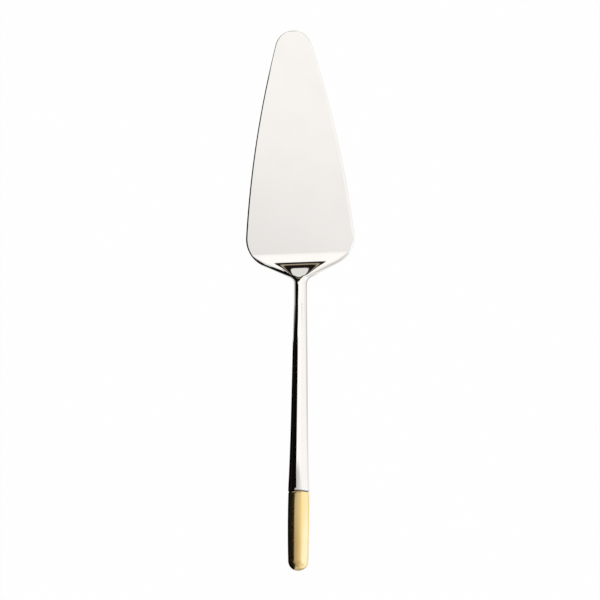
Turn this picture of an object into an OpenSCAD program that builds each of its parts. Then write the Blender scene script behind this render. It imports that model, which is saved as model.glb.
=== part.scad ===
// Cake server: a polished blade cranked up into a slim, round, hollow handle with a gold-coloured end.
// Millimetres. The blade lies flat on z = 0 with its tip towards +Y, and the handle rises towards -Y.
// Distances along the blade are measured from the tip in plan; heights are measured from the flat underside.

/* [Blade] */
// Greatest width, across the shoulders
blade_w = 55.5; // [46:0.5:62]
// Distance from the tip to the widest line
shoulder_at = 103.5; // [92:0.5:120]
// Plan radius of the rounded tip
tip_r = 9.5; // [7:0.5:11]
// Plan radius of the long bowed sides
side_r = 500; // [400:10:800]
// Plan radius of the shoulders
shoulder_r = 14.5; // [11:0.25:17]
// Angle of the rear edges from square
heel_angle = 24.5; // [20:0.5:32]
// Plan radius where the rear edges run into the neck
neck_fillet_r = 3.75; // [3:0.25:6]
// Thickness of the blade at the heel
heel_t = 2.2; // [1.8:0.1:3]
// Thickness of the blade at the tip
tip_t = 1.4; // [1:0.1:1.8]

/* [Crank] */
// Rise of the handle above the blade's plane, in degrees
handle_tilt = 10.5; // [8:0.5:12.5]
// Radius of the hollow at the foot of the ramp
ramp_foot_r = 21; // [17:0.5:26]
// Tight radius over the head of the ramp
ramp_head_r = 7.5; // [5:0.5:11]
// Long radius that eases the head into the handle's line
ease_r = 40; // [25:1:60]
// Slope at which the tight radius passes into the long one, in degrees
ease_slope = 15; // [13.5:0.5:17]
// Radius under the heel, where the underside leaves the table
sole_foot_r = 20; // [14:0.5:24]
// Radius under the neck, where the underside meets the handle's line
sole_head_r = 22; // [16:0.5:28]
// Diameter of the round neck
neck_d = 6.4; // [5.6:0.1:7.2]
// Height of the neck's underside above the table, where the neck becomes round
neck_lift = 0.6; // [0.5:0.05:1.2]
// Distance from the end of the neck's plan fillet to where the neck is round
neck_blend = 1; // [0:0.1:2.5]
// Length of the round neck ahead of the handle's mouth
neck_land = 9; // [5:0.5:14]

/* [Handle] */
// Length of the two handle shells
shell_len = 94; // [80:0.5:115]
// Diameter that the fore part of the taper swells towards
fore_d = 8; // [6.8:0.1:8.8]
// Diameter that the aft part of the taper holds back to
aft_d = 7.8; // [7:0.1:9]
// Diameter at the rear end of the shells
rear_d = 10.6; // [9.4:0.1:12]
// Sheet thickness of the shells
shell_wall = 0.7; // [0.5:0.05:0.9]

/* [Tang] */
// Least thickness of the cement round the tang
cement_t = 0.55; // [0.3:0.05:0.8]
// Length of the tang behind the handle's mouth
tang_len = 46; // [30:1:60]
// Length of the pilot that centres the handle's mouth on the neck
pilot_len = 4; // [2:0.5:6]
// Number of ring notches that key the tang in its cement
notch_count = 4; // [2:1:5]
// Depth of a notch
notch_depth = 0.35; // [0.2:0.05:0.5]
// Width of a notch
notch_w = 1.6; // [1:0.1:2.5]
// Depth of cement behind the end of the tang
cement_over = 4; // [2:0.5:10]

/* [Joint bush] */
// Length of the bush inside the handle
bush_in = 10; // [6:0.5:14]
// Length of the bush inside the end cap
bush_out = 12; // [8:0.5:16]
// Wall of the bush
bush_wall = 1.2; // [0.8:0.1:1.8]
// Chamfer at both ends of the bush
bush_chamfer = 0.15; // [0.05:0.05:0.3]
// Wall left outside the bush, at the slimmer side of the joint
bush_seat_wall = 0.75; // [0.6:0.05:1]
// Brazing room round the bush and round the tang's pilot
braze_gap = 0.05; // [0.02:0.01:0.1]

/* [End cap] */
// Greatest diameter of the cap's belly
cap_d = 10.6; // [9.6:0.1:12]
// Distance from the joint to the belly
cap_belly_at = 14; // [9:0.5:17]
// Distance from the joint to the centre of the round end
cap_round_at = 34; // [28:0.5:44]
// Profile radius of the belly
cap_belly_r = 600; // [450:10:1000]
// Wall of the cap
cap_wall = 0.8; // [0.6:0.05:1.2]
// Depth of the groove between handle and cap
groove_depth = 0.45; // [0.2:0.05:0.6]
// Width of the groove, half of it on each side of the joint
groove_w = 1.1; // [0.6:0.1:1.8]

/* [Hidden] */

steel_colour = [0.87, 0.86, 0.84];
gold_colour = [0.83, 0.69, 0.41];
cement_colour = [0.72, 0.69, 0.62];
bush_colour = [0.62, 0.62, 0.63];

// Room by which a cut runs past what it cuts
overrun = 1;
// Stations of the blade's loft along the tip, the sides, the shoulders and the crank, and points up one edge
tip_steps = 12;
side_steps = 10;
shoulder_steps = 7;
crank_steps = 32;
edge_steps = 15;
// Steps of a handle profile and of a round end
taper_steps = 24;
round_steps = 18;
$fn = 96;
// How the flat crown between the edges narrows from the bend to the round neck, and how much squarer than
// an ellipse the sections get near the foot of the ramp
crown_power = 6;
section_fullness = 30;
// Where the notches of the tang start and end, of its length
notch_start_share = 0.3;
notch_end_share = 0.85;
// Taper at the end of the tang, of its radius
tang_point_share = 0.6;

// Plan outline of one side, as [half-width, distance from the tip]: tip arc, side arc, shoulder arc,
// rear edge and neck fillet, each touching the next
half_w = blade_w / 2;
neck_r = neck_d / 2;
tip_c = [0, tip_r];
shoulder_c = [half_w - shoulder_r, shoulder_at];
// The side arc touches both rounds from outside, so its centre is where two circles about their centres cross
c_span = norm(shoulder_c - tip_c);
c_dir = (shoulder_c - tip_c) / c_span;
tip_reach = side_r - tip_r;
shoulder_reach = side_r - shoulder_r;
c_along = (c_span * c_span + tip_reach * tip_reach - shoulder_reach * shoulder_reach) / (2 * c_span);
c_across = chord(tip_reach, c_along);
side_c = tip_c + c_along * c_dir + c_across * [-c_dir[1], c_dir[0]];
tip_end = tip_c + tip_r * (tip_c - side_c) / norm(tip_c - side_c);
side_end = shoulder_c + shoulder_r * (shoulder_c - side_c) / norm(shoulder_c - side_c);
heel_n = [sin(heel_angle), cos(heel_angle)];
heel_start = shoulder_c + shoulder_r * heel_n;
fillet_x = neck_r + neck_fillet_r;
fillet_c = [fillet_x, heel_start[1] + (neck_fillet_r - heel_n[0] * (fillet_x - heel_start[0])) / heel_n[1]];
heel_end = fillet_c - neck_fillet_r * heel_n;

// Half the chord of a circle at a distance from its middle
function chord(r, off) = sqrt(max(0, r * r - off * off));
function half_width(d) =
    d < tip_end[1] ? chord(tip_r, d - tip_r) :
    d < side_end[1] ? side_c[0] + chord(side_r, d - side_c[1]) :
    d < heel_start[1] ? shoulder_c[0] + chord(shoulder_r, d - shoulder_at) :
    d < heel_end[1] ? heel_start[0] - (d - heel_start[1]) * heel_n[1] / heel_n[0] :
    d < fillet_c[1] ? fillet_x - chord(neck_fillet_r, d - fillet_c[1]) :
    neck_r;

// Crank in side view, as [distance behind the bend, height]. The top is a hollow foot, a tight round head
// and a long easing curve, and its steepest slope is just enough to climb from the blade to the neck.
ramp_rise = neck_lift + neck_d * cos(handle_tilt) - heel_t;
ease_rise = ease_r * (cos(handle_tilt) - cos(ease_slope));
ramp_angle = acos((ramp_foot_r + ramp_head_r * cos(ease_slope) + ease_rise - ramp_rise)
    / (ramp_foot_r + ramp_head_r));
foot_run = ramp_foot_r * sin(ramp_angle);
foot_top = heel_t + ramp_foot_r * (1 - cos(ramp_angle));
head_c = [foot_run, foot_top] + ramp_head_r * [sin(ramp_angle), -cos(ramp_angle)];
ease_c = head_c + (ease_r - ramp_head_r) * [sin(ease_slope), -cos(ease_slope)];
ease_at = ease_c[0] - ease_r * sin(ease_slope);
top_end = ease_c + ease_r * [-sin(handle_tilt), cos(handle_tilt)];
// The neck's round section stands square to the handle, so its underside ends a little further back
neck_mid = top_end + neck_r * [sin(handle_tilt), -cos(handle_tilt)];
sole_end = top_end + neck_d * [sin(handle_tilt), -cos(handle_tilt)];
// The underside bends up past the handle's own slope and back, just enough to reach the neck
sole_angle = acos((sole_foot_r + sole_head_r * cos(handle_tilt) - sole_end[1]) / (sole_foot_r + sole_head_r));
sole_turn = sole_end[0] - sole_head_r * (sin(sole_angle) - sin(handle_tilt));
sole_start = sole_turn - sole_foot_r * sin(sole_angle);
sole_head_c = sole_end + sole_head_r * [sin(handle_tilt), -cos(handle_tilt)];
// The neck becomes round just behind the place where the plan outline reaches the neck's width
bend_at = fillet_c[1] + neck_blend - (top_end[0] + sole_end[0]) / 2;

function top_height(x) =
    x <= 0 ? heel_t :
    x < foot_run ? heel_t + ramp_foot_r - chord(ramp_foot_r, x) :
    x < ease_at ? head_c[1] + chord(ramp_head_r, x - head_c[0]) :
    ease_c[1] + chord(ease_r, x - ease_c[0]);
function sole_height(x) =
    x <= sole_start ? 0 :
    x < sole_turn ? sole_foot_r - chord(sole_foot_r, x - sole_start) :
    sole_head_c[1] + chord(sole_head_r, x - sole_head_c[0]);

// Sizes along the handle, measured from where its shells start
shell_r = [neck_d / 2, fore_d / 2, aft_d / 2, rear_d / 2];
mouth_r = neck_r - shell_wall;
pilot_r = mouth_r - braze_gap;
tang_r = mouth_r - cement_t;
belly_c = [cap_d / 2 - cap_belly_r, cap_belly_at];
round_c = [0, cap_round_at];
round_r = cap_belly_r - norm(round_c - belly_c);
round_angle = atan2(round_c[1] - belly_c[1], round_c[0] - belly_c[0]);
cap_front_r = belly_c[0] + chord(cap_belly_r, cap_belly_at);
bush_r = min(rear_d / 2, cap_front_r) - bush_seat_wall;
cap_bore_r = bush_r + braze_gap;
cement_len = tang_len + cement_over;
tang_point = tang_point_share * tang_r;

// Whole length in plan, which centres the part on its origin
handle_len = neck_land + shell_len + cap_round_at;
tip_y = (bend_at + neck_mid[0] + handle_len * cos(handle_tilt) + round_r) / 2;

function bezier(p, t) =
    pow(1 - t, 3) * p[0] + 3 * pow(1 - t, 2) * t * p[1] + 3 * (1 - t) * t * t * p[2] + pow(t, 3) * p[3];
function shell_outer(s) = [bezier(shell_r, s), s * shell_len];

// One ring of the blade's loft: flat across the crown, with a half-ellipse edge on each side, or a squarer
// curve where power is more than 2. low and high are [distance from the tip, height] on the middle line,
// w is the half-width and flat the crown's half-width
edge_trim = 90 / (edge_steps + 1);
function edge_angle(i) = (90 - edge_trim) * (2 * i / edge_steps - 1);
function edge_lift(a, power) = sign(a) * sqrt(1 - pow(cos(a), power));
function edge_point(i, w, flat, low, high, power, side) =
    let (rise = (edge_lift(edge_angle(i), power) / edge_lift(90 - edge_trim, power) + 1) / 2,
         reach = flat + (w - flat) * cos(edge_angle(i)))
    [side * reach, tip_y - low[0] - rise * (high[0] - low[0]), low[1] + rise * (high[1] - low[1])];
function ring(w, flat, low, high, power = 2) = concat(
    [for (i = [0 : edge_steps]) edge_point(i, w, flat, low, high, power, 1)],
    [for (i = [edge_steps : -1 : 0]) edge_point(i, w, flat, low, high, power, -1)]);

// Across the plate the edges are full round; at the very tip the plate thins to the same round
function plate_t(d) = tip_t + (heel_t - tip_t) * d / bend_at;
function tip_thin(d) = d < tip_t / 2 ? sqrt(1 - pow(1 - 2 * d / tip_t, 2)) : 1;
function plate_ring(d, w) =
    let (t = plate_t(d), gap = t * (1 - tip_thin(d)) / 2, edge = min(t / 2 * tip_thin(d), w / 2))
    ring(w, w - edge, [d, gap], [d, t - gap]);
function crank_ring(s) =
    let (high = [s * top_end[0], top_height(s * top_end[0])],
         low = [s * sole_end[0], sole_height(s * sole_end[0])],
         w = half_width(bend_at + (low[0] + high[0]) / 2),
         flat = (w - heel_t / 2) * pow(1 - s * s, crown_power),
         power = 2 + section_fullness * s * pow(1 - s, 4))
    ring(w, flat, low + [bend_at, 0], high + [bend_at, 0], power);
// The round neck runs on to the handle's mouth
function mouth_ring() =
    let (run = [bend_at, 0] + neck_land * [cos(handle_tilt), sin(handle_tilt)])
    ring(neck_r, 0, sole_end + run, top_end + run);

function loft_points(rings) = [for (r = rings) each r];
function loft_faces(count, around) = concat(
    [[for (k = [0 : around - 1]) k]],
    [for (i = [0 : count - 2]) for (k = [0 : around - 1])
        let (a = i * around + k, b = i * around + (k + 1) % around)
        each [[a, b + around, b], [a, a + around, b + around]]],
    [[for (k = [around - 1 : -1 : 0]) (count - 1) * around + k]]);

// Moves a shape drawn up the z axis onto the handle's line, with its zero at the handle's mouth
module on_handle() {
    translate([0, tip_y - bend_at - neck_mid[0], neck_mid[1]])
        rotate([90 - handle_tilt, 0, 0])
            translate([0, 0, neck_land])
                children();
}

module blade_loft() {
    tip_turn = atan2(tip_end[0], tip_r - tip_end[1]);
    side_from = tip_end[1];
    turn_from = asin((side_end[1] - shoulder_at) / shoulder_r);
    turn_to = asin(min(1, (bend_at - shoulder_at) / shoulder_r));
    rings = concat(
        [for (i = [1 : tip_steps]) let (g = tip_turn * i / tip_steps)
            plate_ring(i == 1 ? 0 : tip_r * (1 - cos(g)), tip_r * sin(g))],
        [for (i = [1 : side_steps]) let (d = side_from + (side_end[1] - side_from) * i / side_steps)
            plate_ring(d, half_width(d))],
        [for (i = [1 : shoulder_steps - 1])
            let (d = shoulder_at + shoulder_r * sin(turn_from + (turn_to - turn_from) * i / shoulder_steps))
            plate_ring(d, half_width(d))],
        [for (i = [0 : crank_steps]) crank_ring(i / crank_steps)],
        [mouth_ring()]);
    polyhedron(loft_points(rings), loft_faces(len(rings), len(rings[0])));
}

// The tang's half profile: a pilot rooted in the neck, which fits the handle's mouth, then the notched rod
module tang_profile() {
    root = -neck_land / 2;
    r = tang_r;
    notch_r = r - notch_depth;
    notch_side = notch_w / 3;
    notch_from = tang_len * notch_start_share;
    notch_step = tang_len * (notch_end_share - notch_start_share) / (notch_count - 1);
    polygon(concat(
        [[0, root], [pilot_r, root], [pilot_r, pilot_len], [r, pilot_len]],
        [for (i = [0 : notch_count - 1]) let (z = notch_from + i * notch_step)
            each [[r, z], [notch_r, z + notch_side], [notch_r, z + notch_w - notch_side], [r, z + notch_w]]],
        [[r, tang_len - tang_point], [r - tang_point, tang_len], [0, tang_len]]));
}

// Inside of the handle: a parallel mouth, the taper, and the seat of the bush
module shell_cavity() {
    seat_at = shell_len - bush_in;
    wall = [shell_wall, 0];
    taper = [for (i = [0 : taper_steps]) shell_outer(i / taper_steps) - wall];
    polygon(concat(
        [[0, 0], [mouth_r, 0], [mouth_r, pilot_len]],
        [for (p = taper) if (p[1] > pilot_len && p[1] < seat_at) p],
        [shell_outer(seat_at / shell_len) - wall, [bush_r, seat_at], [bush_r, shell_len], [0, shell_len]]));
}

module shell_profile() {
    taper = [for (i = [0 : taper_steps]) shell_outer(i / taper_steps)];
    lip_at = shell_len - groove_w / 2;
    difference() {
        polygon(concat(
            [[0, 0]],
            [for (p = taper) if (p[1] < lip_at) p],
            [shell_outer(lip_at / shell_len), [rear_d / 2 - groove_depth, shell_len], [0, shell_len]]));
        shell_cavity();
    }
}

function arc(c, r, from, to, steps) =
    [for (i = [0 : steps]) let (g = from + (to - from) * i / steps) c + r * [cos(g), sin(g)]];

// A belly arc and a round end that touch, at one depth inside the cap's skin, from a distance behind
// the joint
module cap_form(depth, from) {
    r = cap_belly_r - depth;
    polygon(concat(
        [[0, from]],
        arc(belly_c, r, asin((from - cap_belly_at) / r), round_angle, taper_steps),
        arc(round_c, round_r - depth, round_angle + (90 - round_angle) / round_steps, 90, round_steps - 1)));
}

module cap_profile() {
    difference() {
        cap_form(0, 0);
        cap_form(cap_wall, bush_out);
        translate([0, -overrun]) square([cap_bore_r, bush_out + overrun]);
        polygon([[cap_front_r - groove_depth, 0], [cap_front_r - groove_depth, -overrun],
                 [cap_front_r + overrun, -overrun], [cap_front_r + overrun, groove_w / 2],
                 [cap_front_r, groove_w / 2]]);
    }
}

module half_turn(start) {
    rotate([0, 0, start]) rotate_extrude(angle = 180) children();
}

module blade() {
    color(steel_colour) union() {
        blade_loft();
        on_handle() rotate_extrude() tang_profile();
    }
}

// The two shells are one half turn each of the same profile, over the top and under
module handle_upper_shell() {
    color(steel_colour) on_handle() half_turn(0) shell_profile();
}

module handle_lower_shell() {
    color(steel_colour) on_handle() half_turn(180) shell_profile();
}

module tang_cement() {
    color(cement_colour) on_handle() rotate_extrude() difference() {
        intersection() {
            shell_cavity();
            translate([0, pilot_len]) square([rear_d, cement_len - pilot_len]);
        }
        tang_profile();
    }
}

module joint_bush() {
    l = bush_in + bush_out;
    c = bush_chamfer;
    bore_r = bush_r - bush_wall;
    color(bush_colour) on_handle() translate([0, 0, shell_len - bush_in]) rotate_extrude()
        polygon([[bore_r, 0], [bush_r - c, 0], [bush_r, c], [bush_r, l - c], [bush_r - c, l], [bore_r, l]]);
}

module end_cap() {
    color(gold_colour) on_handle() translate([0, 0, shell_len]) rotate_extrude() cap_profile();
}

blade();
handle_upper_shell();
handle_lower_shell();
tang_cement();
joint_bush();
end_cap();
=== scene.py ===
import math
import bmesh
import bpy
from mathutils import Matrix, Vector


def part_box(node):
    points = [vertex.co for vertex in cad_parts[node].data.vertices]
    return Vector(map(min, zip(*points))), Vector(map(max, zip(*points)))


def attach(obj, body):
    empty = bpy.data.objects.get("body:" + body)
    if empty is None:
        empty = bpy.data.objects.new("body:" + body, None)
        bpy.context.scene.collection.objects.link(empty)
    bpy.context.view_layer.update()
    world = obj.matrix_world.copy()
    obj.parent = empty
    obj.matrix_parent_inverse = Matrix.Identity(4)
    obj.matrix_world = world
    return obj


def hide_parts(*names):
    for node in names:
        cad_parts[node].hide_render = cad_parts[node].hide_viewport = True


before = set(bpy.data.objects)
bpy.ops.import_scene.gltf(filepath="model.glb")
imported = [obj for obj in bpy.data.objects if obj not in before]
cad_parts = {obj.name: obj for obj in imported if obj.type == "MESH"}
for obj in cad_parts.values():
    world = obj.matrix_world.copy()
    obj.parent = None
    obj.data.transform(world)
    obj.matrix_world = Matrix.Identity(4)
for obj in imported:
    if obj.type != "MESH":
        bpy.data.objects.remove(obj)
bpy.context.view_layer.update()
print("frame:", sorted(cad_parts))


class Flow:  # one output socket of a node tree, so that shader maths reads as plain expressions
    def __init__(self, tree, socket=None):
        self.tree = tree
        self.socket = socket

    def node(self, kind, settings=None, sockets=None, take=0):
        made = self.tree.nodes.new(kind)
        for key, value in (settings or {}).items():
            setattr(made, key, value)
        for key, value in (sockets or {}).items():
            if isinstance(value, Flow):
                self.tree.links.new(value.socket, made.inputs[key])
            else:
                made.inputs[key].default_value = value
        return Flow(self.tree, made.outputs[take] if len(made.outputs) else None)

    def maths(self, operation, *values):
        return self.node("ShaderNodeMath", {"operation": operation}, dict(enumerate(values)))

    def __add__(self, other):
        return self.maths("ADD", self, other)

    __radd__ = __add__

    def __sub__(self, other):
        return self.maths("SUBTRACT", self, other)

    def __rsub__(self, other):
        return self.maths("SUBTRACT", other, self)

    def __mul__(self, other):
        return self.maths("MULTIPLY", self, other)

    __rmul__ = __mul__

    def __abs__(self):
        return self.maths("ABSOLUTE", self)

    def rise(self, low, high):  # 0 below low, 1 above high, smooth between
        return self.node("ShaderNodeMapRange", {"interpolation_type": "SMOOTHSTEP"},
                         {"Value": self, "From Min": low, "From Max": high})

    def mix(self, factor, first, second):  # colours
        return self.node("ShaderNodeMix", {"data_type": "RGBA"}, {0: factor, 6: first, 7: second}, take=2)


def newMaterial(name):
    made = bpy.data.materials.new(name)
    made.use_nodes = True
    made.node_tree.nodes.clear()
    return made, Flow(made.node_tree)


def showSurface(flow, shader):
    flow.node("ShaderNodeOutputMaterial", {}, {"Surface": shader})


def finishMaterial(flow, settings):  # one principled shader into the output
    showSurface(flow, flow.node("ShaderNodeBsdfPrincipled", {}, settings))


def objectPlace(flow):
    return flow.node("ShaderNodeTexCoord", take="Object")


noiseMiddle = 0.5  # about the mean of a noise texture


def noise(flow, place, scale, detail):
    return flow.node("ShaderNodeTexNoise", {}, {"Vector": place, "Scale": scale, "Detail": detail})


def bump(flow, strength, depth, height):
    return flow.node("ShaderNodeBump", {}, {"Strength": strength, "Distance": depth, "Height": height})


# The fine groove at the handle's joint gets a dark line of painted shade, standing in for the shadow in the
# groove
grooveShade = {"colour": (0.05, 0.045, 0.04, 1), "depth": 0.55, "core": 0.00034, "edge": 0.00056}


def grooveShadeLine(flow, place, joint, run):  # strength of the painted shade in the groove, from the distance to the joint's plane
    offset = flow.node("ShaderNodeVectorMath", {"operation": "SUBTRACT"}, {0: place, 1: joint})
    along = flow.node("ShaderNodeVectorMath", {"operation": "DOT_PRODUCT"}, {0: offset, 1: run}, take="Value")
    return grooveShade["depth"] * (1 - abs(along).rise(grooveShade["core"], grooveShade["edge"]))


# Mirror-polished steel: a warm grey metal with hair-fine polishing lines along the length
polish = {
    "colour": (0.87, 0.845, 0.815, 1),
    "shade": (0.845, 0.82, 0.79, 1),
    "roughness": 0.035,
    "haze": 0.05,  # extra roughness where the polish is a little cloudy
    "lineScale": (2600, 60, 2600),
    "lineDetail": 4,
    "lineBreak": 0.6,  # how broken the lines are
    "lineShare": 0.6,  # part of the haze that follows the lines
    "lineStrength": 0.25,
    "lineDepth": 0.0000004,
    "cloudScale": 55,
    "cloudDetail": 3,
    "cloudRange": (0.4, 0.75),
}


def polishedSteel(joint, run):
    made, flow = newMaterial("polishedSteel")
    place = objectPlace(flow)
    along = flow.node("ShaderNodeVectorMath", {"operation": "MULTIPLY"}, {0: place, 1: polish["lineScale"]})
    lines = flow.node("ShaderNodeTexNoise", {}, {
        "Vector": along, "Scale": 1, "Detail": polish["lineDetail"], "Roughness": polish["lineBreak"]})
    clouds = noise(flow, place, polish["cloudScale"], polish["cloudDetail"])
    haze = clouds.rise(*polish["cloudRange"]) * (1 - polish["lineShare"] + polish["lineShare"] * lines)
    tone = flow.mix(haze, polish["colour"], polish["shade"])
    finishMaterial(flow, {
        # the base colour darkens to painted shade along the joint's groove
        "Base Color": flow.mix(grooveShadeLine(flow, place, joint, run), tone, grooveShade["colour"]),
        "Metallic": 1,
        "Roughness": polish["roughness"] + polish["haze"] * haze,
        "Normal": bump(flow, polish["lineStrength"], polish["lineDepth"], lines),
    })
    return made


# Satin gold-coloured metal: an even fine grain that scatters the light softly
satin = {
    "colour": (0.96, 0.735, 0.345, 1),
    "deep": (0.91, 0.67, 0.285, 1),
    "roughness": 0.21,
    "spread": 0.06,  # how far the grain changes the roughness
    "grainScale": 5200,
    "grainDetail": 2,
    "grainRange": (0.35, 0.7),
    "grainStrength": 0.35,
    "grainDepth": 0.000003,
    "toneScale": 90,
    "toneDetail": 4,
    "toneRange": (0.35, 0.75),
    "toneShare": 0.65,  # part of the change of colour; the rest follows the grain
}


def satinGold(joint, run):
    made, flow = newMaterial("satinGold")
    place = objectPlace(flow)
    grain = noise(flow, place, satin["grainScale"], satin["grainDetail"])
    tone = noise(flow, place, satin["toneScale"], satin["toneDetail"])
    share = satin["toneShare"]
    depth = share * tone.rise(*satin["toneRange"]) + (1 - share) * grain.rise(*satin["grainRange"])
    shown = flow.mix(depth, satin["colour"], satin["deep"])
    finishMaterial(flow, {
        # the base colour darkens to painted shade along the joint's groove
        "Base Color": flow.mix(grooveShadeLine(flow, place, joint, run), shown, grooveShade["colour"]),
        "Metallic": 1,
        "Roughness": satin["roughness"] + satin["spread"] * (grain - noiseMiddle),
        "Normal": bump(flow, satin["grainStrength"], satin["grainDepth"], grain),
    })
    return made


# Turned steel of the hidden bush: fine lathe rings along the handle's line
turned = {
    "colour": (0.6, 0.6, 0.61, 1),
    "shade": (0.42, 0.42, 0.43, 1),
    "roughness": 0.3,
    "spread": 0.15,  # how far the rings change the roughness
    "ringScale": 1400,
    "ringDetail": 2,
    "ringWaver": 0.6,
    "ringStrength": 0.3,
    "ringDepth": 0.00001,
}


def turnedSteel(tilt):
    made, flow = newMaterial("turnedSteel")
    along = flow.node("ShaderNodeMapping", {}, {"Vector": objectPlace(flow), "Rotation": (tilt, 0, 0)})
    rings = flow.node("ShaderNodeTexWave", {"bands_direction": "Y"}, {
        "Vector": along, "Scale": turned["ringScale"], "Distortion": turned["ringWaver"],
        "Detail": turned["ringDetail"]}, take="Fac")
    finishMaterial(flow, {
        "Base Color": flow.mix(rings, turned["colour"], turned["shade"]),
        "Metallic": 1,
        "Roughness": turned["roughness"] + turned["spread"] * rings,
        "Normal": bump(flow, turned["ringStrength"], turned["ringDepth"], rings),
    })
    return made


# Mineral cement round the tang: matt, pale and gritty
grit = {
    "pale": (0.72, 0.69, 0.62, 1),
    "dark": (0.55, 0.51, 0.44, 1),
    "roughness": 0.8,
    "spread": 0.15,  # how far the grain changes the roughness
    "grainScale": 2600,
    "grainDetail": 5,
    "grainShare": 0.5,  # part of the change of colour; the rest follows the patches
    "grainStrength": 0.6,
    "grainDepth": 0.00006,
    "patchScale": 260,
    "patchDetail": 3,
    "patchRange": (0.35, 0.7),
}


def mineralCement():
    made, flow = newMaterial("mineralCement")
    place = objectPlace(flow)
    grain = noise(flow, place, grit["grainScale"], grit["grainDetail"])
    patch = noise(flow, place, grit["patchScale"], grit["patchDetail"])
    share = grit["grainShare"]
    dirt = share * grain + (1 - share) * patch.rise(*grit["patchRange"])
    finishMaterial(flow, {
        "Base Color": flow.mix(dirt, grit["pale"], grit["dark"]),
        "Roughness": grit["roughness"] + grit["spread"] * grain,
        "Normal": bump(flow, grit["grainStrength"], grit["grainDepth"], grain),
    })
    return made


sharpAngle = 35  # degrees; a steeper edge is shaded sharp
weldGap = 0.0000005  # points nearer than this are merged


def closeSeams(bm):
    bmesh.ops.remove_doubles(bm, verts=bm.verts, dist=weldGap)
    bmesh.ops.recalc_face_normals(bm, faces=bm.faces)


def pieceFrom(bm, name, material, node):
    mesh = bpy.data.meshes.new(name)
    bm.to_mesh(mesh)
    bm.free()
    mesh.shade_smooth()
    mesh.set_sharp_from_angle(angle=math.radians(sharpAngle))
    mesh.materials.append(material)
    piece = bpy.data.objects.new(name, mesh)
    bpy.context.scene.collection.objects.link(piece)
    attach(piece, "root")
    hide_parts(node)
    print("piece:", name, len(mesh.polygons), "faces")


# Blade: sizes in metres and degrees, distances measured from the tip
bladeSize = {
    "width": 0.0555,
    "shoulderAt": 0.1035,  # the widest line
    "tipRadius": 0.0095,
    "sideRadius": 0.5,
    "shoulderRadius": 0.0145,
    "heelAngle": 24.5,  # rear edges, from square
    "neckFillet": 0.00375,
    "heelThick": 0.0022,
    "tipThick": 0.0014,
    "handleTilt": 10.5,
    "rampFoot": 0.021,  # radius of the hollow foot
    "rampHead": 0.0075,  # tight radius over the head
    "ease": 0.04,  # long radius into the handle's line
    "easeSlope": 15,
    "soleFoot": 0.02,
    "soleHead": 0.022,
    "neckDiameter": 0.0064,
    "neckLift": 0.0006,  # underside of the neck above the table
    "neckBlend": 0.001,  # from the end of the plan fillet to the round neck
    "neckLand": 0.009,  # round neck ahead of the handle's mouth
    "crownPower": 6,  # how the flat crown narrows towards the neck
    "fullness": 30,  # how much squarer than an ellipse the sections get near the foot of the ramp
    "fullnessFade": 4,  # how fast that dies away up the ramp
    "ringPoints": 112,
    "edgeCrowding": 9,  # how strongly the ring's points gather on the edges
    "tipSteps": 40,  # rings along each stretch
    "sideSteps": 60,
    "shoulderSteps": 40,
    "crankSteps": 110,
}
ellipsePower = 2  # an edge with this power is a plain ellipse


def chord(radius, offset):
    return math.sqrt(max(0, radius * radius - offset * offset))


def planOutline(size):  # the half-width at any distance from the tip, and the marks where the outline changes
    shoulder = Vector((size["width"] / 2 - size["shoulderRadius"], size["shoulderAt"]))
    tip = Vector((0, size["tipRadius"]))
    span = shoulder - tip
    tipReach = size["sideRadius"] - size["tipRadius"]
    shoulderReach = size["sideRadius"] - size["shoulderRadius"]
    along = (span.length_squared + tipReach ** 2 - shoulderReach ** 2) / (2 * span.length)
    step = span.normalized()
    side = tip + along * step + chord(tipReach, along) * Vector((-step.y, step.x))
    tipEnd = tip + size["tipRadius"] * (tip - side).normalized()
    sideEnd = shoulder + size["shoulderRadius"] * (shoulder - side).normalized()
    heelTurn = math.radians(size["heelAngle"])
    heelNormal = Vector((math.sin(heelTurn), math.cos(heelTurn)))
    heelStart = shoulder + size["shoulderRadius"] * heelNormal
    neckHalf = size["neckDiameter"] / 2
    filletX = neckHalf + size["neckFillet"]
    filletAt = heelStart.y + (size["neckFillet"] - heelNormal.x * (filletX - heelStart.x)) / heelNormal.y
    heelEnd = Vector((filletX, filletAt)) - size["neckFillet"] * heelNormal

    def widthAt(d):
        if d < tipEnd.y:
            return chord(size["tipRadius"], d - tip.y)
        if d < sideEnd.y:
            return side.x + chord(size["sideRadius"], d - side.y)
        if d < heelStart.y:
            return shoulder.x + chord(size["shoulderRadius"], d - shoulder.y)
        if d < heelEnd.y:
            return heelStart.x - (d - heelStart.y) * heelNormal.y / heelNormal.x
        if d < filletAt:
            return filletX - chord(size["neckFillet"], d - filletAt)
        return neckHalf

    return widthAt, {"tipEnd": tipEnd, "sideEnd": sideEnd, "filletAt": filletAt}


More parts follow.
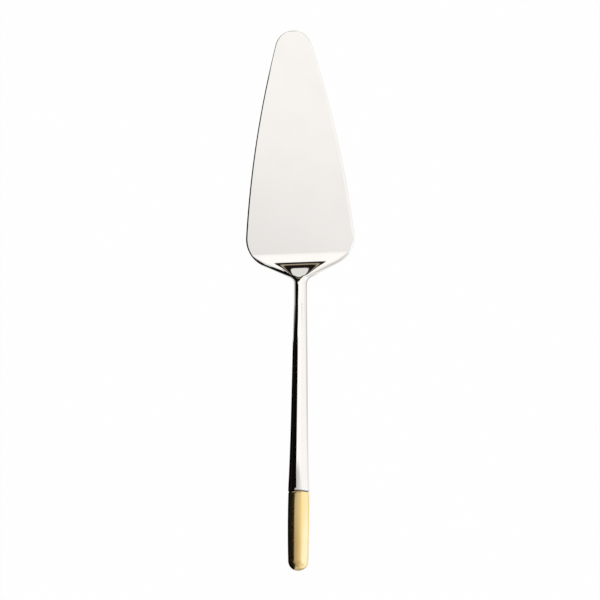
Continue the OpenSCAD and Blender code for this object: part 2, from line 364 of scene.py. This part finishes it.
def crankSide(size):  # heights of the top and the underside behind the bend, and where the round neck starts
    tilt, turn = math.radians(size["handleTilt"]), math.radians(size["easeSlope"])
    rise = size["neckLift"] + size["neckDiameter"] * math.cos(tilt) - size["heelThick"]
    easeRise = size["ease"] * (math.cos(tilt) - math.cos(turn))
    ramp = math.acos((size["rampFoot"] + size["rampHead"] * math.cos(turn) + easeRise - rise)
                     / (size["rampFoot"] + size["rampHead"]))
    foot = size["rampFoot"] * Vector((math.sin(ramp), 1 - math.cos(ramp))) + Vector((0, size["heelThick"]))
    head = foot + size["rampHead"] * Vector((math.sin(ramp), -math.cos(ramp)))
    ease = head + (size["ease"] - size["rampHead"]) * Vector((math.sin(turn), -math.cos(turn)))
    easeAt = ease.x - size["ease"] * math.sin(turn)
    up = Vector((-math.sin(tilt), math.cos(tilt)))  # square to the handle, in side view
    topEnd = ease + size["ease"] * up
    soleEnd = topEnd - size["neckDiameter"] * up
    soleSum = size["soleFoot"] + size["soleHead"]
    soleTurn = math.acos((size["soleFoot"] + size["soleHead"] * math.cos(tilt) - soleEnd.y) / soleSum)
    soleChange = soleEnd.x - size["soleHead"] * (math.sin(soleTurn) - math.sin(tilt))
    soleStart = soleChange - size["soleFoot"] * math.sin(soleTurn)
    soleHead = soleEnd - size["soleHead"] * up

    def topAt(x):
        if x < foot.x:
            return size["heelThick"] + size["rampFoot"] - chord(size["rampFoot"], x)
        if x < easeAt:
            return head.y + chord(size["rampHead"], x - head.x)
        return ease.y + chord(size["ease"], x - ease.x)

    def soleAt(x):
        if x < soleStart:
            return 0
        if x < soleChange:
            return size["soleFoot"] - chord(size["soleFoot"], x - soleStart)
        return soleHead.y + chord(size["soleHead"], x - soleHead.x)

    return topAt, soleAt, {"topEnd": topEnd, "soleEnd": soleEnd, "up": up}


halfWidth, planMarks = planOutline(bladeSize)
topHeight, soleHeight, crankMarks = crankSide(bladeSize)
crankMiddle = (crankMarks["topEnd"].x + crankMarks["soleEnd"].x) / 2
bendAt = planMarks["filletAt"] + bladeSize["neckBlend"] - crankMiddle
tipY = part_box("blade")[1].y
handleTilt = math.radians(bladeSize["handleTilt"])
neckRadius = bladeSize["neckDiameter"] / 2
neckMid = crankMarks["topEnd"] - neckRadius * crankMarks["up"] + Vector((bendAt, 0))
handleRun = Vector((math.cos(handleTilt), math.sin(handleTilt)))
mouth = neckMid + bladeSize["neckLand"] * handleRun


# A section is its half-width, the half-width of its flat, its lowest and its highest point on the middle
# line, and the power of its edge's curve
def plateSection(d, width):
    thick = bladeSize["tipThick"] + (bladeSize["heelThick"] - bladeSize["tipThick"]) * d / bendAt
    thin = chord(1, 1 - 2 * d / bladeSize["tipThick"]) if d < bladeSize["tipThick"] / 2 else 1
    gap = thick * (1 - thin) / 2
    flat = width - min(thick * thin, width) / 2
    return width, flat, Vector((d, gap)), Vector((d, thick - gap)), ellipsePower


def crankSection(s):  # s runs from 0 at the bend to 1 at the round neck
    high = Vector((s * crankMarks["topEnd"].x, topHeight(s * crankMarks["topEnd"].x)))
    low = Vector((s * crankMarks["soleEnd"].x, soleHeight(s * crankMarks["soleEnd"].x)))
    width = halfWidth(bendAt + (low.x + high.x) / 2)
    flat = (width - bladeSize["heelThick"] / 2) * (1 - s * s) ** bladeSize["crownPower"]
    power = ellipsePower + bladeSize["fullness"] * s * (1 - s) ** bladeSize["fullnessFade"]
    return width, flat, low + Vector((bendAt, 0)), high + Vector((bendAt, 0)), power


def roundSection(radius, along):  # a round ring on the handle's line, at a distance behind its mouth
    middle = mouth + along * handleRun
    reach = radius * crankMarks["up"]
    return radius, 0, middle - reach, middle + reach, ellipsePower


# Tang: hidden in the handle, with notches that key into the cement
tangSize = {
    "pilotRadius": 0.00245,
    "pilotLength": 0.004,
    "radius": 0.00195,
    "length": 0.046,
    "notchCount": 4,
    "notchDepth": 0.00035,
    "notchWidth": 0.0016,
    "notchFrom": 0.3,  # of the length
    "notchTo": 0.85,
    "notchForm": ((0, 0), (1 / 3, 1), (2 / 3, 1), (1, 0)),  # shares of the width and the depth
    "pointShare": 0.6,  # taper at the end, of the radius
}


def tangSections():
    radius, length = tangSize["radius"], tangSize["length"]
    notchStep = length * (tangSize["notchTo"] - tangSize["notchFrom"]) / (tangSize["notchCount"] - 1)
    yield roundSection(tangSize["pilotRadius"], 0)
    yield roundSection(tangSize["pilotRadius"], tangSize["pilotLength"])
    yield roundSection(radius, tangSize["pilotLength"])
    for i in range(tangSize["notchCount"]):
        start = length * tangSize["notchFrom"] + i * notchStep
        for share, depth in tangSize["notchForm"]:
            at = start + share * tangSize["notchWidth"]
            yield roundSection(radius - depth * tangSize["notchDepth"], at)
    point = tangSize["pointShare"] * radius
    yield roundSection(radius, length - point)
    yield roundSection(radius - point, length)


def bladeSections():
    tipRadius, tipSteps = bladeSize["tipRadius"], bladeSize["tipSteps"]
    sideSteps, shoulderSteps = bladeSize["sideSteps"], bladeSize["shoulderSteps"]
    crankSteps = bladeSize["crankSteps"]
    tipEnd, sideEnd = planMarks["tipEnd"], planMarks["sideEnd"]
    tipTurn = math.atan2(tipEnd.x, tipRadius - tipEnd.y)
    for i in range(1, tipSteps + 1):
        turn = tipTurn * i / tipSteps
        yield plateSection(tipRadius * (1 - math.cos(turn)), tipRadius * math.sin(turn))
    for i in range(1, sideSteps + 1):
        d = tipEnd.y + (sideEnd.y - tipEnd.y) * i / sideSteps
        yield plateSection(d, halfWidth(d))
    for i in range(1, shoulderSteps):
        d = sideEnd.y + (bendAt - sideEnd.y) * i / shoulderSteps
        yield plateSection(d, halfWidth(d))
    for i in range(crankSteps + 1):
        yield crankSection(i / crankSteps)
    yield roundSection(neckRadius, 0)
    yield from tangSections()


def ringPoint(share, section):  # share 0 is the right edge, a quarter the top, a half the left edge
    width, flat, low, high, power = section
    quarter = share * 4
    across = 1 if quarter <= 1 or quarter >= 3 else -1
    climb = 1 if quarter <= 2 else -1
    f = quarter % 2
    f = f if f <= 1 else 2 - f
    # the edge, about a quarter of an ellipse long, gets more than its share of the points
    edgeLength = math.pi / 2 * math.hypot(width - flat, (high - low).length / 2) / math.sqrt(2)
    edgeShare = edgeLength * bladeSize["edgeCrowding"]
    edgeShare = edgeShare / (edgeShare + flat)
    if f < edgeShare:
        turn = math.pi / 2 * f / edgeShare
        outward = max(0, math.cos(turn))
        reach, lift = flat + (width - flat) * outward, math.sqrt(1 - outward ** power)
    else:
        g = (f - edgeShare) / (1 - edgeShare) if edgeShare < 1 else 0
        reach, lift = flat * (1 - g * g), 1
    place = low + (high - low) * (1 + climb * lift) / 2
    return Vector((across * reach, tipY - place.x, place.y))


def bladeBody():
    bm = bmesh.new()
    around = bm.verts.layers.float.new("around")
    ring = bmesh.ops.create_circle(bm, segments=bladeSize["ringPoints"], radius=1)["verts"]
    for vert in ring:
        vert[around] = math.atan2(vert.co.y, vert.co.x) / math.tau % 1
    edges = bm.edges[:]
    for count, section in enumerate(bladeSections()):
        if count:
            grown = bmesh.ops.extrude_edge_only(bm, edges=edges)["geom"]
            ring = [g for g in grown if isinstance(g, bmesh.types.BMVert)]
            edges = [g for g in grown if isinstance(g, bmesh.types.BMEdge) and g.is_boundary]
        for vert in ring:
            vert.co = ringPoint(vert[around], section)
    bmesh.ops.holes_fill(bm, edges=[e for e in bm.edges if e.is_boundary])
    closeSeams(bm)
    return bm


# Handle: lengths along its line, measured from the mouth of the shells
handleSize = {
    "length": 0.094,
    "radii": (0.0032, 0.004, 0.0039, 0.0053),  # control radii of the long taper
    "wall": 0.0007,
    "mouthRadius": 0.0025,
    "mouthLength": 0.004,
    "bushRadius": 0.004387,
    "bushLength": 0.01,  # in the shells
    "grooveDepth": 0.00045,
    "grooveWidth": 0.0011,  # half of it on each side of the joint
    "lipRound": 0.00012,
    "lipSteps": 4,
    "steps": 120,  # round a half turn
    "taperSteps": 70,
}
handleFrame = (Matrix.Translation((0, tipY - mouth.x, mouth.y))
               @ Matrix.Rotation(math.pi / 2 - handleTilt, 4, "X"))


def shellRadius(z):
    t = z / handleSize["length"]
    a, b, c, d = handleSize["radii"]
    return a * (1 - t) ** 3 + 3 * b * (1 - t) ** 2 * t + 3 * c * (1 - t) * t * t + d * t ** 3


def shellSection():
    length, wall = handleSize["length"], handleSize["wall"]
    lip, seat = length - handleSize["grooveWidth"] / 2, length - handleSize["bushLength"]
    steps = handleSize["taperSteps"]
    outer = [(shellRadius(lip * i / steps), lip * i / steps) for i in range(steps + 1)]
    inner = [(shellRadius(z) - wall, z) for z in
             (seat + (handleSize["mouthLength"] - seat) * i / steps for i in range(steps))]
    end = [(handleSize["radii"][-1] - handleSize["grooveDepth"], length), (handleSize["bushRadius"], length),
           (handleSize["bushRadius"], seat)]
    front = [(handleSize["mouthRadius"], handleSize["mouthLength"]), (handleSize["mouthRadius"], 0)]
    return outer + end + inner + front, [len(outer) - 1, len(outer)]


def sectionFace(bm, points, corners, along=0):  # a closed section in the plane of radius and length
    verts = [bm.verts.new((max(r, 0), 0, z + along)) for r, z in points]
    bm.faces.new(verts)
    bmesh.ops.bevel(bm, geom=[verts[i] for i in corners], offset=handleSize["lipRound"], affect="VERTICES",
                    segments=handleSize["lipSteps"], profile=0.5, material=-1)


def handleShell(turn):
    bm = bmesh.new()
    points, corners = shellSection()
    sectionFace(bm, points, corners)
    bmesh.ops.spin(bm, geom=bm.verts[:] + bm.edges[:] + bm.faces[:], cent=(0, 0, 0), axis=(0, 0, 1),
                   angle=turn, steps=handleSize["steps"], use_duplicate=False)
    closeSeams(bm)
    bmesh.ops.transform(bm, matrix=handleFrame, verts=bm.verts)
    return bm


# End cap: lengths from the joint on
capSize = {
    "bellyRadius": 0.0053,
    "bellyAt": 0.014,
    "bellyCurve": 0.6,
    "roundAt": 0.034,  # middle of the round end
    "wall": 0.0008,
    "boreRadius": 0.004437,
    "boreLength": 0.012,
    "steps": 160,
    "bellySteps": 40,
    "roundSteps": 30,
    "axisGap": 0.000001,  # points nearer to the axis than this lie on it
}


def capSection():
    belly = Vector((capSize["bellyRadius"] - capSize["bellyCurve"], capSize["bellyAt"]))
    tail = Vector((0, capSize["roundAt"]))
    tailTurn = math.atan2(tail.y - belly.y, tail.x - belly.x)
    tailRadius = capSize["bellyCurve"] - (tail - belly).length

    def form(depth, start):  # the belly arc and the round end, at a depth inside the skin
        radius = capSize["bellyCurve"] - depth
        first = math.asin((start - belly.y) / radius)
        for i in range(capSize["bellySteps"] + 1):
            turn = first + (tailTurn - first) * i / capSize["bellySteps"]
            yield belly + radius * Vector((math.cos(turn), math.sin(turn)))
        for i in range(1, capSize["roundSteps"] + 1):
            turn = tailTurn + (math.pi / 2 - tailTurn) * i / capSize["roundSteps"]
            yield tail + (tailRadius - depth) * Vector((math.cos(turn), math.sin(turn)))

    front = belly.x + chord(capSize["bellyCurve"], belly.y)
    outer = [tuple(p) for p in form(0, handleSize["grooveWidth"] / 2)]
    inner = [tuple(p) for p in form(capSize["wall"], capSize["boreLength"])]
    start = [(capSize["boreRadius"], capSize["boreLength"]), (capSize["boreRadius"], 0),
             (front - handleSize["grooveDepth"], 0)]
    return start + outer + inner[::-1], [len(start) - 1, len(start)]


def endCap():
    bm = bmesh.new()
    points, corners = capSection()
    sectionFace(bm, points, corners, handleSize["length"])
    onAxis = [e for e in bm.edges if all(v.co.x < capSize["axisGap"] for v in e.verts)]
    bmesh.ops.delete(bm, geom=bm.faces[:], context="FACES_ONLY")
    bmesh.ops.delete(bm, geom=onAxis, context="EDGES")
    bmesh.ops.spin(bm, geom=bm.verts[:] + bm.edges[:], cent=(0, 0, 0), axis=(0, 0, 1), angle=math.tau,
                   steps=capSize["steps"], use_merge=True, use_duplicate=False)
    closeSeams(bm)
    bmesh.ops.transform(bm, matrix=handleFrame, verts=bm.verts)
    return bm


handleLine = handleFrame.to_3x3() @ Vector((0, 0, 1))
jointPoint = handleFrame @ Vector((0, 0, handleSize["length"]))
steel = polishedSteel(jointPoint, handleLine)
gold = satinGold(jointPoint, handleLine)
pieceFrom(bladeBody(), "bladeBody", steel, "blade")
pieceFrom(handleShell(math.pi), "upperShell", steel, "handle_upper_shell")
pieceFrom(handleShell(-math.pi), "lowerShell", steel, "handle_lower_shell")
pieceFrom(endCap(), "endCap", gold, "end_cap")


def dressNode(name, material):  # a hidden CAD node keeps its mesh and gets its own finish
    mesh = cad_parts[name].data
    mesh.materials.clear()
    mesh.materials.append(material)
    print("node:", name, material.name)


dressNode("joint_bush", turnedSteel(handleTilt))
dressNode("tang_cement", mineralCement())

# Camera: high above the object, leaning a little to the right and turned slightly on its line of sight
cameraSize = {
    "aim": (-0.0014, -0.00079, 0),
    "distance": 1.8,
    "lean": 13.48,  # degrees to the right of straight above
    "turn": -2,  # degrees round the line of sight
    "field": 0.299,  # width of the view at the aim point
    "sensor": 36,
    "clipEnd": 100,
}


def makeCamera():
    made = bpy.data.cameras.new("viewCamera")
    made.sensor_width = cameraSize["sensor"]
    made.lens = cameraSize["sensor"] * cameraSize["distance"] / cameraSize["field"]
    made.clip_end = cameraSize["clipEnd"]
    camera = bpy.data.objects.new("viewCamera", made)
    lean, turn = math.radians(cameraSize["lean"]), math.radians(cameraSize["turn"])
    above = Matrix.Translation((0, 0, cameraSize["distance"]))
    camera.matrix_world = (Matrix.Translation(cameraSize["aim"]) @ Matrix.Rotation(lean, 4, "Y")
                           @ above @ Matrix.Rotation(turn, 4, "Z"))
    bpy.context.scene.collection.objects.link(camera)
    bpy.context.scene.camera = camera
    print("camera:", [round(x, 3) for x in camera.location])


makeCamera()

# Studio light: angles in degrees. Lengthwise is off straight up, towards the tip; sideways is out of the
# middle plane, and less than nothing to the left
skyLight = {
    "white": 1.15,
    "rearGrey": 0.93,
    "rearStep": (0, 4.5),  # lengthwise step from grey to white
    "rearSoft": (0, 11),  # the slower part of it
    "rearShare": 0.5,  # how much of it is the quick part
    "leftShade": 0.1,  # how much darker the top light is on its left, behind the step
    "leftStep": (-14.6, -12.4),
    "seamAt": 44,  # the faint gap between the top light and the right light
    "seamHalf": 12,
    "seamDrop": 0.08,
    "darkStep": (-26, -18),  # behind this, and left of darkSide, it is dark
    "darkSide": (-30, -14),
    "bandFrom": 26.7,  # lengthwise edge of the dark frame round the front window
    "tanFrom": 31.6,
    "tanTo": 34.5,
    "paneFrom": 43.8,
    "bandSoft": 0.8,
    "bandRight": 42,  # the frame's right edge at its near end, and its slant
    "bandSlant": -1,
    "rightSoft": 1.5,
    "frameDark": (0.012, 0.008, 0.007, 1),
    "frameTan": (0.42, 0.36, 0.26, 1),
    "pane": (0.86, 0.86, 0.85, 1),
    "leftDark": (-55, -52),  # sideways; left of it the studio is dark
}


def studioWorld():
    world = bpy.data.worlds.new("studio")
    bpy.context.scene.world = world
    world.use_nodes = True
    world.node_tree.nodes.clear()
    flow = Flow(world.node_tree)
    direction = flow.node("ShaderNodeTexCoord", take="Generated")
    x, y, z = [flow.node("ShaderNodeSeparateXYZ", {}, {0: direction}, take=i) for i in range(3)]
    lengthwise = flow.maths("ARCTAN2", y, z) * math.degrees(1)
    sideways = flow.maths("ARCSINE", x) * math.degrees(1)
    step, share = lengthwise.rise(*skyLight["rearStep"]), skyLight["rearShare"]
    lift = share * step + (1 - share) * lengthwise.rise(*skyLight["rearSoft"])
    level = skyLight["rearGrey"] + (skyLight["white"] - skyLight["rearGrey"]) * lift
    leftShade = (1 - sideways.rise(*skyLight["leftStep"])) * (1 - step)
    seam = 1 - abs(sideways - skyLight["seamAt"]).rise(0, skyLight["seamHalf"])
    level = level - skyLight["leftShade"] * leftShade - skyLight["seamDrop"] * seam
    dark = (1 - lengthwise.rise(*skyLight["darkStep"])) * (1 - sideways.rise(*skyLight["darkSide"]))
    level = level * (1 - dark)
    grey = flow.node("ShaderNodeCombineColor", {}, {0: level, 1: level, 2: level})

    def past(edge):
        return lengthwise.rise(edge - skyLight["bandSoft"], edge + skyLight["bandSoft"])

    tanBand = past(skyLight["tanFrom"]) * (1 - past(skyLight["tanTo"]))
    front = flow.mix(tanBand, skyLight["frameDark"], skyLight["frameTan"])
    front = flow.mix(past(skyLight["paneFrom"]), front, skyLight["pane"])
    inside = skyLight["bandRight"] + skyLight["bandSlant"] * (lengthwise - skyLight["bandFrom"]) - sideways
    window = past(skyLight["bandFrom"]) * inside.rise(-skyLight["rightSoft"], skyLight["rightSoft"])
    colour = flow.mix(window, grey, front)
    colour = flow.mix(sideways.rise(*skyLight["leftDark"]), skyLight["frameDark"], colour)
    light = flow.node("ShaderNodeBackground", {}, {"Color": colour})
    flow.node("ShaderNodeOutputWorld", {}, {"Surface": light})
    print("studio: world light ready")


def stagePlane(name, corners, material):
    bm = bmesh.new()
    bm.faces.new([bm.verts.new(c) for c in corners])
    bmesh.ops.recalc_face_normals(bm, faces=bm.faces)
    mesh = bpy.data.meshes.new(name)
    bm.to_mesh(mesh)
    bm.free()
    mesh.materials.append(material)
    plane = bpy.data.objects.new(name, mesh)
    bpy.context.scene.collection.objects.link(plane)
    print("stage:", name)
    return plane


def flatCorners(corners, height):
    return [(x, y, height) for x, y in corners]


def boxCorners(left, right, rear, front):
    return [(left, rear), (right, rear), (right, front), (left, front)]


def glowOf(flow, colour):
    return flow.node("ShaderNodeEmission", {}, {"Color": colour, "Strength": 1})


# Floor: white to the eye and in reflections, with the soft shadow kept
floorSheet = {
    "white": 0.975,  # share of its look that is its own white
    "colour": (0.9, 0.9, 0.9, 1),
    "drop": 0.0002,
    "half": 3,
}
pureWhite = (1, 1, 1, 1)


def floorPaper():
    made, flow = newMaterial("floorPaper")
    paths = [flow.node("ShaderNodeLightPath", take=ray) for ray in
             ("Is Camera Ray", "Is Glossy Ray", "Is Transmission Ray")]
    seen = flow.maths("MAXIMUM", flow.maths("MAXIMUM", paths[0], paths[1]), paths[2])
    paper = flow.node("ShaderNodeBsdfDiffuse", {}, {"Color": floorSheet["colour"]})
    white = glowOf(flow, pureWhite)
    shown = flow.node("ShaderNodeMixShader", {}, {0: seen * floorSheet["white"], 1: paper, 2: white})
    showSurface(flow, shown)
    return made


def makeFloor():
    half = floorSheet["half"]
    stagePlane("floor", flatCorners(boxCorners(-half, half, -half, half), -floorSheet["drop"]), floorPaper())


# Cards: outlines in metres, seen from above. Those on the floor lie a little above its paper
cardBlack = (0.003, 0.0027, 0.0024, 1)
cardGrey = (0.6, 0.6, 0.6, 1)
onFloor = -floorSheet["drop"] / 2


def cardPaint(name, colour):
    made, flow = newMaterial(name)
    showSurface(flow, glowOf(flow, colour))
    return made


def fadePaint(name, fade, rear, front):  # one colour at the rear that fades into another towards the front
    made, flow = newMaterial(name)
    y = flow.node("ShaderNodeSeparateXYZ", {}, {0: objectPlace(flow)}, take=1)
    showSurface(flow, glowOf(flow, flow.mix(y.rise(*fade), rear, front)))
    return made


def studioCard(name, corners, material):  # a card that only polished surfaces see
    card = stagePlane(name, corners, material)
    card.visible_camera = False
    card.visible_diffuse = False
    card.visible_transmission = False
    card.visible_shadow = False


# Dark side of the studio: a high card, and a low one that widens the dark stripe along the handle
sideWall = {
    "height": 0.4,
    "outline": (
        (-0.3, -0.6), (-0.3, -0.15), (-0.238, -0.04), (-0.236, 0.06), (-0.25, 0.11), (-0.23, 0.148),
        (-0.182, 0.163), (-0.195, 0.176), (-0.31, 0.199), (-0.55, 0.26), (-1.5, 0.5), (-1.5, -0.6)),
}
stripe = {
    "height": 0.1,
    "outline": (
        (-0.06, -0.066), (-0.019, -0.066), (-0.0197, -0.0606), (-0.0254, -0.0555), (-0.0289, -0.0327),
        (-0.0308, -0.0022), (-0.0325, 0.009), (-0.038, 0.0175), (-0.05, 0.0205), (-0.06, 0.0205)),
}

# Veil over the handle's rear: a see-through grey that thins out to the right and towards the front
veil = {
    "height": 0.15,
    "far": -0.085,  # its left side
    "left": -0.06,  # full depth up to here, clear from right on
    "right": 0.2,
    "rear": -3.2,
    "front": (-0.036, -0.027),  # it ends between these
    "depth": 0.66,
    "thin": 0.17,  # how much less of it towards the front
    "fade": (-0.085, -0.06),
    "warm": (0.16, 0.085, 0, 1),  # its colour over the handle's end
    "warmFade": (-0.062, -0.046),
}


def veilPaint():
    made, flow = newMaterial("shadeCard")
    place = objectPlace(flow)
    x, y = [flow.node("ShaderNodeSeparateXYZ", {}, {0: place}, take=i) for i in range(2)]
    depth = veil["depth"] - veil["thin"] * y.rise(*veil["fade"])
    density = depth * (1 - x.rise(veil["left"], veil["right"])) * (1 - y.rise(*veil["front"]))
    clear = flow.node("ShaderNodeBsdfTransparent")
    dark = glowOf(flow, flow.mix(y.rise(*veil["warmFade"]), veil["warm"], cardBlack))
    showSurface(flow, flow.node("ShaderNodeMixShader", {}, {0: density, 1: clear, 2: dark}))
    return made


def makeHighCards(black):
    studioCard("sideCard", flatCorners(sideWall["outline"], sideWall["height"]), black)
    studioCard("stripeCard", flatCorners(stripe["outline"], stripe["height"]), black)
    corners = boxCorners(veil["far"], veil["right"], veil["rear"], veil["front"][-1])
    studioCard("shadeCard", flatCorners(corners, veil["height"]), veilPaint())


# Floor left of the handle and below it: black, with a grey patch at the neck and grey behind the end; to its
# right a pale strip that turns grey near the neck, a painted shadow under the neck seen only in reflections
under = {
    "far": 3.2,
    "edge": -0.004,  # right edge of the black
    "rear": -0.125,  # behind it the edge runs off to rearLeft
    "rearLeft": -1.6,
    "patch": ((-0.024, -0.02), (-0.024, 0.001), (-0.12, 0.0035), (-0.12, 0.0145)),
    "endRight": 0.006,  # right side of the grey behind the end, from here to rearRight
    "rearRight": 0.8,
    "endGrey": (0.5, 0.5, 0.5, 1),
    "rim": ((0.034, -0.11), (0.009, 0), (0.009, 0.014)),  # right side of the strip below the handle, pale at the rear and grey near the neck as a painted shadow
    "rimShadowFade": (-0.1, -0.03),
    "rimPale": (0.95, 0.95, 0.95, 1),
}


def makeFloorCards(black, grey):
    far, edge, rear = under["far"], under["edge"], under["rear"]
    patch, rim = list(under["patch"]), list(under["rim"])
    patchRear, patchFront = (edge, patch[0][1]), (edge, patch[-1][1])
    left = [(-far, -far), (under["rearLeft"], -far), (edge, rear), patchRear] + patch + [
        patchFront, (edge, far), (-far, far)]
    studioCard("leftCard", flatCorners(left, onFloor), black)
    end = [(edge, rear), (under["rearLeft"], -far), (under["rearRight"], -far), (under["endRight"], rear)]
    studioCard("endCard", flatCorners(end, onFloor), cardPaint("endCard", under["endGrey"]))
    studioCard("neckCard", flatCorners(patch + [patchFront, patchRear], onFloor), grey)
    # the rim card fades from pale to grey, a painted shadow under the neck that only polished surfaces see
    studioCard("rimCard", flatCorners([patchFront, (edge, rim[0][1])] + rim, onFloor),
               fadePaint("rimCard", under["rimShadowFade"], under["rimPale"], cardGrey))


# Glow: an upright card on the right and the floor at its foot
glow = {
    "at": 0.3,
    "rear": -0.28,
    "front": 0.16,
    "height": 0.3,
    "fade": (-0.08, -0.04),
    "bright": (1.12, 1.28, 1.78, 1),  # beside the handle's end
    "plain": (1.1, 1.1, 1.1, 1),
    "foot": 0.04,  # left side of the lit floor
    "footFront": 0,
    "footFade": (-0.1, -0.084),
}


def makeGlow():
    x, rear, front, top = glow["at"], glow["rear"], glow["front"], glow["height"]
    upright = [(x, rear, onFloor), (x, front, onFloor), (x, front, top), (x, rear, top)]
    studioCard("glowCard", upright, fadePaint("glowCard", glow["fade"], glow["bright"], glow["plain"]))
    foot = boxCorners(glow["foot"], x, rear, glow["footFront"])
    studioCard("glowFloor", flatCorners(foot, onFloor),
               fadePaint("glowFloor", glow["footFade"], glow["bright"], glow["plain"]))


studioWorld()
makeFloor()
blackPaint = cardPaint("blackCard", cardBlack)
greyPaint = cardPaint("greyCard", cardGrey)
makeHighCards(blackPaint)
makeFloorCards(blackPaint, greyPaint)
makeGlow()
bpy.context.scene.view_settings.view_transform = "Standard"
